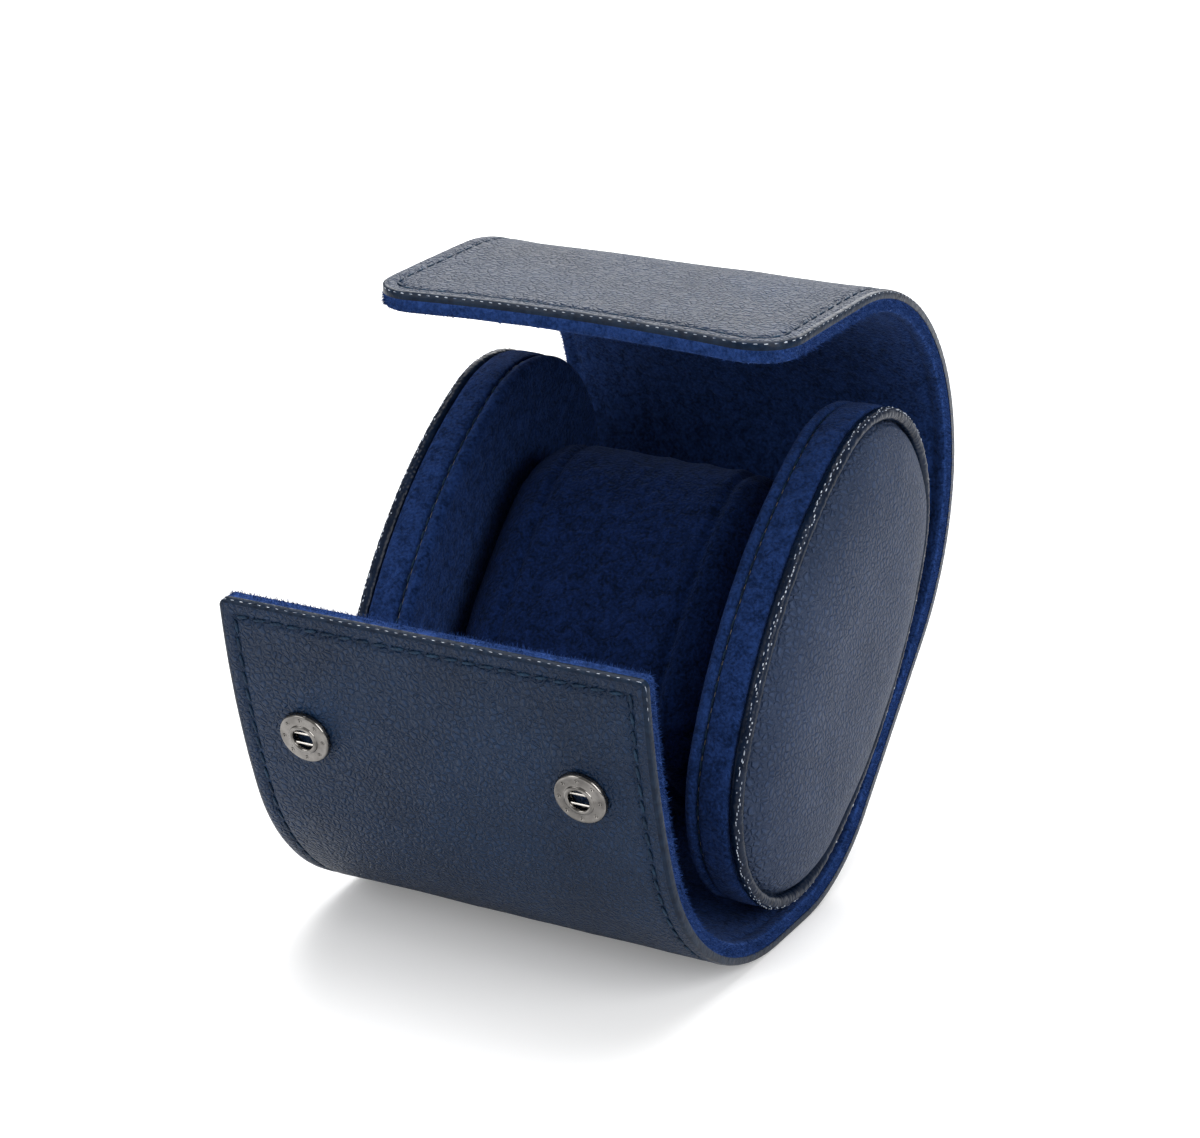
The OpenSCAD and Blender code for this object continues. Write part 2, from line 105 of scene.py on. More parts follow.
def link(tree, source, socket, target, into):
    tree.links.new(source.outputs[socket], target.inputs[into])


def table_material():
    """White board that keeps the shadow near the case and turns to pure white farther off."""
    material, tree, shader = new_material("white_table")
    shader.inputs["Base Color"].default_value = (0.93, 0.93, 0.93, 1)
    shader.inputs["Roughness"].default_value = 0.9
    shader.inputs["Specular IOR Level"].default_value = 0.0
    mottle = add_node(tree, "ShaderNodeTexNoise", Scale=30.0, Detail=2.0)
    bump = add_node(tree, "ShaderNodeBump", Strength=0.02, Distance=0.001)
    place = add_node(tree, "ShaderNodeTexCoord")
    link(tree, place, "Object", mottle, "Vector")
    link(tree, mottle, "Fac", bump, "Height")
    link(tree, bump, "Normal", shader, "Normal")
    path = add_node(tree, "ShaderNodeLightPath")
    lift = add_node(tree, "ShaderNodeEmission", Color=(1, 1, 1, 1))
    reach = add_node(tree, "ShaderNodeVectorMath", operation="LENGTH")
    fade = add_node(tree, "ShaderNodeMapRange", interpolation_type="SMOOTHSTEP")
    fade.inputs["From Min"].default_value = FADE_START
    fade.inputs["From Max"].default_value = FADE_END
    fade.inputs["To Min"].default_value = FLOOR_GLOW
    fade.inputs["To Max"].default_value = 1.0
    link(tree, place, "Object", reach, 0)
    link(tree, reach, "Value", fade, "Value")
    link(tree, fade, "Result", lift, "Strength")
    dark = add_node(tree, "ShaderNodeEmission", Color=(0, 0, 0, 1), Strength=0.0)
    choose = add_node(tree, "ShaderNodeMixShader")
    both = add_node(tree, "ShaderNodeAddShader")
    out = tree.nodes["Material Output"]
    link(tree, path, "Is Camera Ray", choose, 0)
    link(tree, dark, 0, choose, 1)
    link(tree, lift, 0, choose, 2)
    link(tree, choose, 0, both, 0)
    link(tree, shader, 0, both, 1)
    link(tree, both, 0, out, 0)
    return material


def finished(bm, name, materials, smooth_angle=40):
    """Makes an object at the origin from a bmesh, smooth except at creases."""
    mesh = bpy.data.meshes.new(name)
    bm.to_mesh(mesh)
    bm.free()
    for polygon in mesh.polygons:
        polygon.use_smooth = True
    mesh.set_sharp_from_angle(angle=math.radians(smooth_angle))
    piece = bpy.data.objects.new(name, mesh)
    bpy.context.scene.collection.objects.link(piece)
    for material in materials:
        mesh.materials.append(material)
    return piece


table_mesh = bmesh.new()
bmesh.ops.create_grid(table_mesh, x_segments=8, y_segments=8, size=FLOOR_SIZE / 2)
table = finished(table_mesh, "table", [table_material()])


def soft_box(name, place, target, size, watts):
    light = bpy.data.lights.new(name, "AREA")
    light.shape = "RECTANGLE"
    light.size, light.size_y = size
    light.energy = watts
    lamp = bpy.data.objects.new(name, light)
    aim = Vector(target) - Vector(place)
    lamp.matrix_world = Matrix.Translation(place) @ aim.to_track_quat("-Z", "Y").to_matrix().to_4x4()
    bpy.context.scene.collection.objects.link(lamp)


soft_box("overhead", (-0.1, 0.25, 1.1), CASE_MIDDLE, (0.9, 0.9), 11)
soft_box("behind", (-0.45, 1.25, 0.72), CASE_MIDDLE, (1.3, 0.6), 13.5)
soft_box("right_side", (1.05, -0.3, 0.7), CASE_MIDDLE, (0.6, 0.9), 9.4)
soft_box("front_left", (-0.75, -1.0, 0.65), CASE_MIDDLE, (0.8, 0.8), 6.2)

world = bpy.data.worlds.new("studio")
world.use_nodes = True
bpy.context.scene.world = world
sky = world.node_tree.nodes["Background"]
sky.inputs["Color"].default_value = (1, 1, 1, 1)
sky_path = world.node_tree.nodes.new("ShaderNodeLightPath")
sky_level = world.node_tree.nodes.new("ShaderNodeMapRange")
sky_level.inputs["To Min"].default_value = ROOM_LIGHT
sky_level.inputs["To Max"].default_value = 1.0
world.node_tree.links.new(sky_path.outputs["Is Camera Ray"], sky_level.inputs["Value"])
world.node_tree.links.new(sky_level.outputs["Result"], sky.inputs["Strength"])
bpy.context.scene.view_settings.view_transform = "Standard"

# Outer leather of the wrap
# One long strip of pebble-grained navy leather, cut flat with round corners at the top flap.
# It is glued over the boards, turned at its cut edges and sewn to the lining all round.
WRAP_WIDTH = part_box("wrap_base_leather")[1][0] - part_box("wrap_base_leather")[0][0]
HALF_WIDTH = WRAP_WIDTH / 2
LEATHER = 1.4 * MM
WRAP_THICKNESS = 4.4 * MM
TOP_CORNER = 10 * MM
FRONT_CORNER = 1.5 * MM
STITCH_INSET = 3.1 * MM
SEAM_REACH = 5 * MM
FINE_STEP = 0.35 * MM
COARSE_STEP = 1.4 * MM
CORNER_STEPS = 19
EDGE_BAND = 0.75 * MM
EDGE_TURN, SEAM_DEPTH, SWELL, RIPPLE = 0.30 * MM, 0.50 * MM, 0.30 * MM, 0.07 * MM
ARCH_RISE = 1.4 * MM
ARCH_REACH = 45 * MM


def arc_run(radius, turn):
    """An arc of the path, as its length and the angle it turns through."""
    return radius * MM * turn, turn


# Runs of (length, turn) from the middle of the base, as the wrap lies when it stands open
FRONT_RUNS = [(6 * MM, 0), arc_run(48, math.radians(70)), arc_run(190, 42.1 / 190)]
BACK_RUNS = [(6 * MM, 0), arc_run(38, math.radians(46)), (38 * MM, 0),
             arc_run(46.8, math.radians(134)), (36.7 * MM, 0)]
FRONT_END = -sum(length for length, turn in FRONT_RUNS)
BACK_END = sum(length for length, turn in BACK_RUNS)


def place_along(s):
    """Point (y, z) and heading of the leather's face at a distance along the wrap."""
    runs = FRONT_RUNS if s < 0 else BACK_RUNS
    left, y, z, heading = abs(s), 0.0, 0.0, 0.0
    for length, turn in runs:
        part = min(left, length)
        if turn == 0:
            y += part * math.cos(heading)
            z += part * math.sin(heading)
        else:
            radius = length / turn
            after = heading + turn * part / length
            y += radius * (math.sin(after) - math.sin(heading))
            z -= radius * (math.cos(after) - math.cos(heading))
            heading = after
        left -= part
    y += left * math.cos(heading)
    z += left * math.sin(heading)
    return y, z, heading


def bent(x, s, depth):
    """The flat sheet's point, after bending: x across, s along, depth below the leather's face."""
    y, z, heading = place_along(s)
    y -= depth * math.sin(heading)
    z += depth * math.cos(heading)
    arch = max(0.0, (s - (BACK_END - ARCH_REACH)) / ARCH_REACH)
    z += ARCH_RISE * arch * arch * (0.5 - (x / HALF_WIDTH) ** 2)
    return Vector((x, -y if s < 0 else y, z))


def corner_at(s):
    return TOP_CORNER if s > 0 else FRONT_CORNER


def tip_distance(s):
    return (BACK_END if s > 0 else -FRONT_END) - abs(s)


def edge_distance(x, s):
    """Distance from the cut outline, measured in the flat sheet."""
    side, tip, corner = HALF_WIDTH - abs(x), tip_distance(s), corner_at(s)
    if side < corner and tip < corner:
        return corner - math.hypot(corner - side, corner - tip)
    return min(side, tip)


def half_width_at(s):
    corner, tip = corner_at(s), max(0.0, tip_distance(s))
    if tip >= corner:
        return HALF_WIDTH
    return HALF_WIDTH - corner + math.sqrt(corner ** 2 - (corner - tip) ** 2)


# Stretches of the wrap, each crossing one fold: from, to, the bodies, and where its fold is spread
STRETCHES = {
    "front_flap": (FRONT_END, -34 * MM, ("front_flap", "front_bend"), (-76 * MM, -44 * MM)),
    "front_bend": (-34 * MM, 0.0, ("front_bend", "case"), (-31 * MM, -1 * MM)),
    "back": (0.0, 97 * MM, ("case", "top_back"), (54 * MM, 90 * MM)),
    "crown": (97 * MM, 160 * MM, ("top_back", "top_mid"), (103 * MM, 146 * MM)),
    "top_flap": (160 * MM, BACK_END, ("top_mid", "top_flap"), (180 * MM, 210 * MM)),
}
CAD_PARTS = {
    "front_flap": ["front_flap"], "front_bend": ["front_bend"], "back": ["wrap_base"],
    "crown": ["top_back", "top_mid"], "top_flap": ["top_flap"],
}


def spread_steps(length, corner):
    """Distances from a cut edge inwards: even round its corner, fine as far as the seam, then coarse."""
    turns = 2 + round(CORNER_STEPS * corner / TOP_CORNER)
    distances = [corner * (1 - math.cos(math.pi / 2 * turn / turns)) for turn in range(turns + 1)]
    while distances[-1] < SEAM_REACH:
        distances.append(distances[-1] + FINE_STEP)
    while distances[-1] < length - COARSE_STEP:
        distances.append(distances[-1] + COARSE_STEP)
    return [d for d in distances if d < length - 1e-6] + [length]


def rows_of(stretch):
    """Places along the wrap where the stretch's grid has its rows."""
    low, high = STRETCHES[stretch][:2]
    if high == BACK_END:
        return [high - d for d in reversed(spread_steps(high - low, TOP_CORNER))]
    if low == FRONT_END:
        return [low + d for d in spread_steps(high - low, FRONT_CORNER)]
    count = math.ceil((high - low) / COARSE_STEP)
    return [low + (high - low) * step / count for step in range(count + 1)]


def bent_slab(stretch, top_depth, bottom_depth, inset=0.0):
    """
    A closed slab of the sheet: a flat grid, extruded, cut to the outline and then bent.
    Its sides and the band beside its cut edge take the second finish.
    """
    rows = rows_of(stretch)
    from_side = spread_steps(HALF_WIDTH, 0.7 * MM)
    columns = [d / HALF_WIDTH - 1 for d in from_side] + [1 - d / HALF_WIDTH for d in from_side[-2::-1]]
    bm = bmesh.new()
    bmesh.ops.create_grid(bm, x_segments=len(columns) - 1, y_segments=len(rows) - 1, size=1)
    for vert in bm.verts:
        column = round((vert.co.x + 1) / 2 * (len(columns) - 1))
        row = round((vert.co.y + 1) / 2 * (len(rows) - 1))
        s = rows[row]
        vert.co = Vector((columns[column] * (half_width_at(s) - inset), s, 0))
    shell = bmesh.ops.extrude_face_region(bm, geom=bm.faces[:])
    for item in shell["geom"]:
        if isinstance(item, bmesh.types.BMVert):
            item.co.z = 1
    for face in bm.faces:
        standing = len({round(vert.co.z) for vert in face.verts}) == 2
        beside = all(edge_distance(vert.co.x, vert.co.y) < EDGE_BAND for vert in face.verts)
        face.material_index = 1 if standing or beside else 0
    for vert in bm.verts:
        x, s, lower = vert.co
        vert.co = bent(x, s, bottom_depth(x, s) if lower else top_depth(x, s))
    bmesh.ops.recalc_face_normals(bm, faces=bm.faces[:])
    return bm


def near_edge(x, s, reach):
    return math.exp(-max(0.0, edge_distance(x, s)) / reach)


def seam_dip(x, s, width):
    return math.exp(-((edge_distance(x, s) - STITCH_INSET) / width) ** 2)


def leather_top(x, s):
    """The face is turned down at the cut edge, drawn in along the seam and a little uneven inside it."""
    inside = min(1.0, max(0.0, (edge_distance(x, s) - STITCH_INSET) / (6 * MM)))
    swell = SWELL * abs(noise.noise(Vector((x * 45, s * 30, 1.7)))) * inside
    ripple = RIPPLE * abs(noise.noise(Vector((x * 300, s * 300, 4.2))))
    return EDGE_TURN * near_edge(x, s, 0.35 * MM) + SEAM_DEPTH * seam_dip(x, s, 0.65 * MM) + swell + ripple


def leather_bottom(x, s):
    return LEATHER + 0.25 * MM * near_edge(x, s, 0.8 * MM)


def ramp(tree, factor, low, high, start=0.0, end=1.0):
    """A colour ramp read from a node's Fac or Value output."""
    node = add_node(tree, "ShaderNodeValToRGB")
    node.color_ramp.elements[0].position, node.color_ramp.elements[1].position = start, end
    node.color_ramp.elements[0].color = (*low, 1)
    node.color_ramp.elements[1].color = (*high, 1)
    link(tree, factor, 0, node, "Fac")
    return node


def object_noise(tree, scale, detail=2.0):
    place = add_node(tree, "ShaderNodeTexCoord")
    node = add_node(tree, "ShaderNodeTexNoise", Scale=scale, Detail=detail)
    link(tree, place, "Object", node, "Vector")
    return node


def add_bump(tree, shader, height, strength, distance):
    bump = add_node(tree, "ShaderNodeBump", Strength=strength, Distance=distance)
    link(tree, height, 0, bump, "Height")
    link(tree, bump, "Normal", shader, "Normal")


def leather_material(name, low, high, roughness, shine):
    """Pebbled grain: cells about a millimetre across, with pores, on an uneven dyed ground, and painted shade
    in the valleys between the cells.
    """
    material, tree, shader = new_material(name)
    place = add_node(tree, "ShaderNodeTexCoord")
    wander = object_noise(tree, 420.0)
    offset = add_node(tree, "ShaderNodeVectorMath", operation="MULTIPLY_ADD")
    offset.inputs[1].default_value = (1.5 * MM, 1.5 * MM, 1.5 * MM)
    link(tree, wander, "Color", offset, 0)
    link(tree, place, "Object", offset, 2)
    cells = add_node(tree, "ShaderNodeTexVoronoi", feature="DISTANCE_TO_EDGE", Scale=800.0)
    link(tree, offset, "Vector", cells, "Vector")
    pebble = add_node(tree, "ShaderNodeMapRange", interpolation_type="SMOOTHSTEP")
    pebble.inputs["From Max"].default_value = 0.3
    link(tree, cells, "Distance", pebble, "Value")
    pores = object_noise(tree, 2600.0, 3.0)
    grain = add_node(tree, "ShaderNodeMath", operation="MULTIPLY_ADD")
    grain.inputs[1].default_value = 0.35
    link(tree, pores, "Fac", grain, 0)
    link(tree, pebble, "Result", grain, 2)
    add_bump(tree, shader, grain, 1.0, 0.30 * MM)
    dye = ramp(tree, object_noise(tree, 60.0, 4.0), low, high, 0.32, 0.7)
    # Painted shade: the dye is darkened down to 0.72 in the valleys between the pebbles.
    shade = add_node(tree, "ShaderNodeMapRange")
    shade.inputs["To Min"].default_value = 0.72
    link(tree, pebble, "Result", shade, "Value")
    shaded_dye = add_node(tree, "ShaderNodeVectorMath", operation="SCALE")
    link(tree, dye, "Color", shaded_dye, 0)
    link(tree, shade, "Result", shaded_dye, "Scale")
    link(tree, shaded_dye, "Vector", shader, "Base Color")
    shader.inputs["Roughness"].default_value = roughness
    shader.inputs["Specular IOR Level"].default_value = shine
    return material


navy_leather = leather_material("navy_leather", (0.003, 0.015, 0.044), (0.006, 0.024, 0.066), 0.46, 0.2)


def edge_material():
    """The turned edge is burnished and lacquered, and dented a little by the needle."""
    material, tree, shader = new_material("lacquered_edge")
    dents = object_noise(tree, 800.0, 3.0)
    add_bump(tree, shader, dents, 0.7, 0.2 * MM)
    colour = ramp(tree, dents, (0.002, 0.007, 0.019), (0.006, 0.016, 0.036), 0.35, 0.65)
    link(tree, colour, "Color", shader, "Base Color")
    shader.inputs["Specular IOR Level"].default_value = 0.12
    shader.inputs["Roughness"].default_value = 0.3
    return material


lacquered_edge = edge_material()


def follow_fold(piece, stretch):
    """Bakes the piece's placement into its mesh. The bodies and the spread of its stretch's fold are looked
    up, but the piece is not turned with them.
    """
    first, second = STRETCHES[stretch][2]
    start, end = [bent(0, s, WRAP_THICKNESS) for s in STRETCHES[stretch][3]]
    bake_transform(piece)
    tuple(start)
    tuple(end)


def laid_on_boards(piece, stretch, layers):
    """The piece stands for these layers of its stretch: their parts are hidden, and the piece's placement is
    baked.
    """
    low, high = STRETCHES[stretch][:2]
    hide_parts(*[part + layer for part in CAD_PARTS[stretch] for layer in layers])
    follow_fold(piece, stretch)


for stretch in STRETCHES:
    leather = finished(bent_slab(stretch, leather_top, leather_bottom), "wrap_leather_" + stretch,
                       [navy_leather, lacquered_edge], 60)
    laid_on_boards(leather, stretch, ["_leather"])

# Suede lining of the wrap
# Blue suede over thin foam, glued to the boards' inner side and cut flush with the leather.
# Its cut edge shows all round as a soft blue band, with short fibres standing out of it; band and fibres take
# the suede painted brighter, as painted light.
LINING_INSET = 0.25 * MM
LINING_ROUND = 1.3 * MM
LINING_UNEVEN, LINING_SEAM = 0.18 * MM, 0.4 * MM


def lining_top(x, s):
    return leather_bottom(x, s) + 0.02 * MM


def lining_bottom(x, s):
    """Rounded over at its cut edge, drawn in along the seam and softly uneven between."""
    rise = max(0.0, 1 - max(0.0, edge_distance(x, s)) / LINING_ROUND)
    rounded = LINING_ROUND * (1 - math.sqrt(1 - rise * rise))
    uneven = LINING_UNEVEN * abs(noise.noise(Vector((x * 90, s * 90, 7.7))))
    return WRAP_THICKNESS - rounded - LINING_SEAM * seam_dip(x, s, 0.8 * MM) - uneven


def suede_material(name, low, high):
    """Brushed nap: strokes of two blues, a fine fibrous bump and a faint sheen at grazing angles."""
    material, tree, shader = new_material(name)
    strokes = object_noise(tree, 420.0, 6.0)
    strokes.inputs["Roughness"].default_value = 0.72
    strokes.inputs["Distortion"].default_value = 0.8
    fibres = object_noise(tree, 1700.0, 4.0)
    nap = add_node(tree, "ShaderNodeMath", operation="MULTIPLY_ADD")
    nap.inputs[1].default_value = 1.3
    link(tree, strokes, "Fac", nap, 0)
    link(tree, fibres, "Fac", nap, 2)
    level = add_node(tree, "ShaderNodeMapRange")
    level.inputs["From Min"].default_value = 0.92
    level.inputs["From Max"].default_value = 1.38
    link(tree, nap, "Value", level, "Value")
    colour = ramp(tree, level, low, high)
    link(tree, colour, "Color", shader, "Base Color")
    add_bump(tree, shader, nap, 1.0, 0.5 * MM)
    shader.inputs["Roughness"].default_value = 0.95
    shader.inputs["Specular IOR Level"].default_value = 0.05
    shader.inputs["Sheen Weight"].default_value = 0.12
    shader.inputs["Sheen Roughness"].default_value = 0.4
    shader.inputs["Sheen Tint"].default_value = (0.3, 0.45, 0.9, 1)
    return material


blue_suede = suede_material("blue_suede", (0.003, 0.011, 0.044), (0.014, 0.038, 0.142))
# The same suede painted brighter for the cut edge and the fringe: painted light where the edge faces out of
# the case.
lit_edge_suede = suede_material("lit_edge_suede", (0.007, 0.024, 0.095), (0.024, 0.062, 0.225))
for stretch in STRETCHES:
    lining = finished(bent_slab(stretch, lining_top, lining_bottom, LINING_INSET),
                      "wrap_lining_" + stretch, [blue_suede, lit_edge_suede], 60)
    laid_on_boards(lining, stretch, ["_lining", "_board"])

# Stitches, painted edge glints and loose fibres of the wrap
# A lockstitch in thick navy thread runs 3 mm inside the cut edge, in a groove it pulls itself.
# Small pale beads along the lacquered edges of the flaps and the back are painted glints, and the suede
# carries a fringe of fibres.
STITCH_PITCH = 3.6 * MM
STITCH_DEPTH, STITCH_SLANT = 0.34 * MM, math.radians(7)
GLINT_INSET, GLINT_DEPTH = 0.12 * MM, 0.42 * MM
GLINT_PITCH = 1.9 * MM
GLINTS_FROM = 30 * MM
FIBRE_PITCH = 0.26 * MM
FIBRES_ABREAST = 4
FIBRE_RADIUS = 0.13
NUDGE = 1e-5


def outline_walk(end, corner, inset, pitch):
    """Steps along the cut outline at an even pitch: x, s and the outward direction, right side first."""
    sign = 1 if end > 0 else -1
    radius = max(corner - inset, 0.3 * MM)
    side = HALF_WIDTH - inset - radius
    reach = abs(end) - inset - radius
    turn = radius * math.pi / 2
    total = 2 * (reach + turn + side)
    for step in range(int(total / pitch)):
        left = (step + 0.5) * pitch
        mirror = 1
        if left > total / 2:
            left = total - left
            mirror = -1
        if left < reach:
            x, s, out = HALF_WIDTH - inset, left, (1, 0)
        elif left < reach + turn:
            angle = (left - reach) / radius
            x, s = side + radius * math.cos(angle), reach + radius * math.sin(angle)
            out = (math.cos(angle), math.sin(angle))
        else:
            x, s, out = side - (left - reach - turn), reach + radius, (0, 1)
        yield mirror * x, sign * s, (mirror * out[0], sign * out[1])


def both_outlines(inset, pitch):
    yield from outline_walk(FRONT_END, FRONT_CORNER, inset, pitch)
    yield from outline_walk(BACK_END, TOP_CORNER, inset, pitch)


def stretch_at(s):
    return next(name for name, place in STRETCHES.items() if place[0] <= s < place[1])


def frame_at(x, s, out, depth):
    """Axes along the edge, outwards and up from the face, at a point of the bent sheet."""
    here = bent(x, s, depth)
    outward = (bent(x + out[0] * NUDGE, s + out[1] * NUDGE, depth) - here).normalized()
    up = (here - bent(x, s, depth + NUDGE)).normalized()
    along = outward.cross(up).normalized()
    turned = Matrix((along, outward, up)).transposed().to_4x4()
    return Matrix.Translation(here) @ turned


def template(build):
    """A small mesh that is copied many times."""
    bm = bmesh.new()
    build(bm)
    mesh = bpy.data.meshes.new("template")
    bm.to_mesh(mesh)
    bm.free()
    return mesh


def copies(mesh, matrices):
    """One bmesh holding the template at each matrix."""
    bm = bmesh.new()
    for matrix in matrices:
        placed = mesh.copy()
        placed.transform(matrix)
        bm.from_mesh(placed)
        bpy.data.meshes.remove(placed)
    return bm


def sized(along, outward, up):
    """Scales a template along its three axes, in millimetres."""
    return Matrix.Diagonal((along * MM, outward * MM, up * MM, 1))


def thread_material():
    """Two plies twisted together, waxed."""
    material, tree, shader = new_material("navy_thread")
    place = add_node(tree, "ShaderNodeTexCoord")
    plies = add_node(tree, "ShaderNodeTexWave", Scale=700.0, Distortion=1.0)
    plies.bands_direction = "DIAGONAL"
    link(tree, place, "Object", plies, "Vector")
    add_bump(tree, shader, plies, 0.5, 0.1 * MM)
    colour = ramp(tree, object_noise(tree, 500.0), (0.003, 0.011, 0.028), (0.010, 0.034, 0.070), 0.3, 0.7)
    link(tree, colour, "Color", shader, "Base Color")
    shader.inputs["Specular IOR Level"].default_value = 0.15
    shader.inputs["Roughness"].default_value = 0.5
    return material


def glint_material():
    """Pale glossy beads that stand for glints of light on the edges: painted highlights."""
    material, tree, shader = new_material("painted_glints")
    colour = ramp(tree, object_noise(tree, 900.0), (0.06, 0.09, 0.16), (0.54, 0.60, 0.69), 0.35, 0.62)
    link(tree, colour, "Color", shader, "Base Color")
    shader.inputs["Roughness"].default_value = 0.25
    shader.inputs["Coat Weight"].default_value = 0.6
    return material


navy_thread = thread_material()
painted_glints = glint_material()
# A fixed seed, so that fibres and points fall the same way each time
noise.seed_set(7)
unit_ball = template(lambda bm: bmesh.ops.create_icosphere(bm, subdivisions=2, radius=1))
unit_fibre = template(lambda bm: bmesh.ops.create_cone(bm, segments=4, radius1=1, radius2=0.15, depth=1,
                                                       cap_ends=True))
stitch_places = {name: [] for name in STRETCHES}
for x, s, out in both_outlines(STITCH_INSET, STITCH_PITCH):
    slant = Matrix.Rotation(STITCH_SLANT, 4, "Z")
    stitch_places[stretch_at(s)].append(frame_at(x, s, out, STITCH_DEPTH) @ slant @ sized(1.42, 0.34, 0.30))

# Painted glints: pale beads along the lacquered edges of the flaps and the back.
glint_places = {name: [] for name in ("front_flap", "back", "crown", "top_flap")}
for x, s, out in both_outlines(GLINT_INSET, GLINT_PITCH):
    if tip_distance(s) < TOP_CORNER * 0.8 or s > GLINTS_FROM:
        glint_places[stretch_at(s)].append(frame_at(x, s, out, GLINT_DEPTH) @ sized(0.62, 0.15, 0.15))

fibre_places = {name: [] for name in STRETCHES}
for x, s, out in both_outlines(LINING_INSET, FIBRE_PITCH):
    for row in range(FIBRES_ABREAST):
        chance, lean, twist = noise.random_unit_vector(), noise.random(), noise.random()
        depth = LEATHER + 0.5 * MM + (WRAP_THICKNESS - LEATHER - 0.9 * MM) * (row + lean) / FIBRES_ABREAST
        aim = Vector((chance.x * 0.8, 1.0, chance.z * 0.8)).to_track_quat("Z", "Y").to_matrix().to_4x4()
        size = sized(FIBRE_RADIUS, FIBRE_RADIUS, 0.7 + 1.3 * twist)
        fibre_places[stretch_at(s)].append(frame_at(x, s, out, depth) @ aim @ size)

for stretch, places in stitch_places.items():
    stitches = finished(copies(unit_ball, places), "wrap_stitches_" + stretch, [navy_thread])
    follow_fold(stitches, stretch)
# The painted glints along the wrap's edges, one object for each stretch.
for stretch, places in glint_places.items():
    points = finished(copies(unit_ball, places), "edge_glints_" + stretch, [painted_glints])
    follow_fold(points, stretch)
# The fringe takes the brighter suede: painted light on the fibres at the cut edge.
for stretch, places in fibre_places.items():
    fringe = finished(copies(unit_fibre, places), "suede_fringe_" + stretch, [lit_edge_suede])
    follow_fold(fringe, stretch)

# Side caps
# Each cap is an oval box: a suede panel and band over board inside, a rolled leather rim round its
# outer edge, and a leather pad over foam on its outside. Both stand against the wrap's straight back.
CAP_CENTRE = Vector((0, 19.0, 49.56)) * MM
CAP_LEAN = math.radians(42)
LONG_AXIS = Vector((0, math.sin(CAP_LEAN), math.cos(CAP_LEAN)))
FRONT_AXIS = Vector((0, -math.cos(CAP_LEAN), math.sin(CAP_LEAN)))
END_RADIUS, END_CENTRE = 28 * MM, 22 * MM
SIDE_RADIUS, SIDE_CENTRE = 90.5 * MM, 58.5 * MM
ARC_JOIN = math.atan2(SIDE_CENTRE, END_CENTRE)
OVAL_MIDDLE = 27.9 * MM
SEAM_PLACE, SEAM_INSET, SEAM_PITCH = 34 * MM, 1.0 * MM, 3.0 * MM
RIM_LOW, RIM_HIGH = 40.3 * MM, 43 * MM
RIM_MIDDLE, RIM_RADIUS = (RIM_LOW + RIM_HIGH) / 2, (RIM_HIGH - RIM_LOW) / 2
RIM_GLINT_PITCH = 0.75 * MM
PAD_LOW = 40.7 * MM
AROUND = 420
OVAL_LENGTH = 4 * (ARC_JOIN * END_RADIUS + (math.pi / 2 - ARC_JOIN) * SIDE_RADIUS)


def oval(u, inset):
    """Point and outward direction on the four-centre oval, along its long axis and its front axis."""
    end, side = ARC_JOIN * END_RADIUS, (math.pi / 2 - ARC_JOIN) * SIDE_RADIUS
    quarter = int(u * 4) % 4
    left = (u * 4 - int(u * 4)) * (end + side)
    if quarter % 2:
        left = end + side - left
    if left < end:
        angle, radius, centre = left / END_RADIUS, END_RADIUS, (END_CENTRE, 0)
    else:
        angle = ARC_JOIN + (left - end) / SIDE_RADIUS
        radius, centre = SIDE_RADIUS, (0, -SIDE_CENTRE)
    a = centre[0] + (radius - inset) * math.cos(angle)
    b = centre[1] + (radius - inset) * math.sin(angle)
    flip_a = -1 if quarter in (1, 2) else 1
    flip_b = -1 if quarter in (2, 3) else 1
    return a * flip_a, b * flip_b, math.cos(angle) * flip_a, math.sin(angle) * flip_b


def cap_point(u, inset, out, side):
    a, b = oval(u, inset)[:2]
    place = CAP_CENTRE + LONG_AXIS * a + FRONT_AXIS * b
    place.x = side * out
    return place


def cap_frame(u, inset, out, side):
    """Axes along the outline, outwards in the cap's plane, and away from the roll."""
    a, b, out_a, out_b = oval(u, inset)
    outward = LONG_AXIS * out_a + FRONT_AXIS * out_b
    away = Vector((side, 0, 0))
    turned = Matrix((outward.cross(away), outward, away)).transposed().to_4x4()
    return Matrix.Translation(cap_point(u, inset, out, side)) @ turned


def ring_form(around, along, place):
    """A closed form from a grid: one way round the outline, the other way along its section."""
    bm = bmesh.new()
    bmesh.ops.create_grid(bm, x_segments=around, y_segments=along, size=1)
    for vert in bm.verts:
        u, v = (vert.co.x + 1) / 2, (vert.co.y + 1) / 2
        vert.co = place(u if u < 0.99999 else 0.0, v)
    bmesh.ops.remove_doubles(bm, verts=bm.verts, dist=0.004 * MM)
    bmesh.ops.recalc_face_normals(bm, faces=bm.faces[:])
    return bm


def along_section(section, v):
    """A point of a section given as corners (inset, out), at the fraction v of its corners."""
    place = v * (len(section) - 1)
    index = min(int(place), len(section) - 2)
    (a, b), (c, d) = section[index], section[index + 1]
    share = place - index
    return a + (c - a) * share, b + (d - b) * share


def rounded_profile(corners, steps=10):
    """A smooth curve through the section's corners, which are given in millimetres."""
    corners = [(a * MM, b * MM) for a, b in corners]
    points = []
    for index in range(len(corners) - 1):
        before = corners[max(0, index - 1)]
        start, end = corners[index], corners[index + 1]
        after = corners[min(len(corners) - 1, index + 2)]
        for step in range(steps):
            t = step / steps
            points.append(tuple(
                0.5 * (2 * q + (r - p) * t + (2 * p - 5 * q + 4 * r - s) * t * t
                       + (3 * q - p - 3 * r + s) * t ** 3)
                for p, q, r, s in zip(before, start, end, after)))
    return points + [corners[-1]]


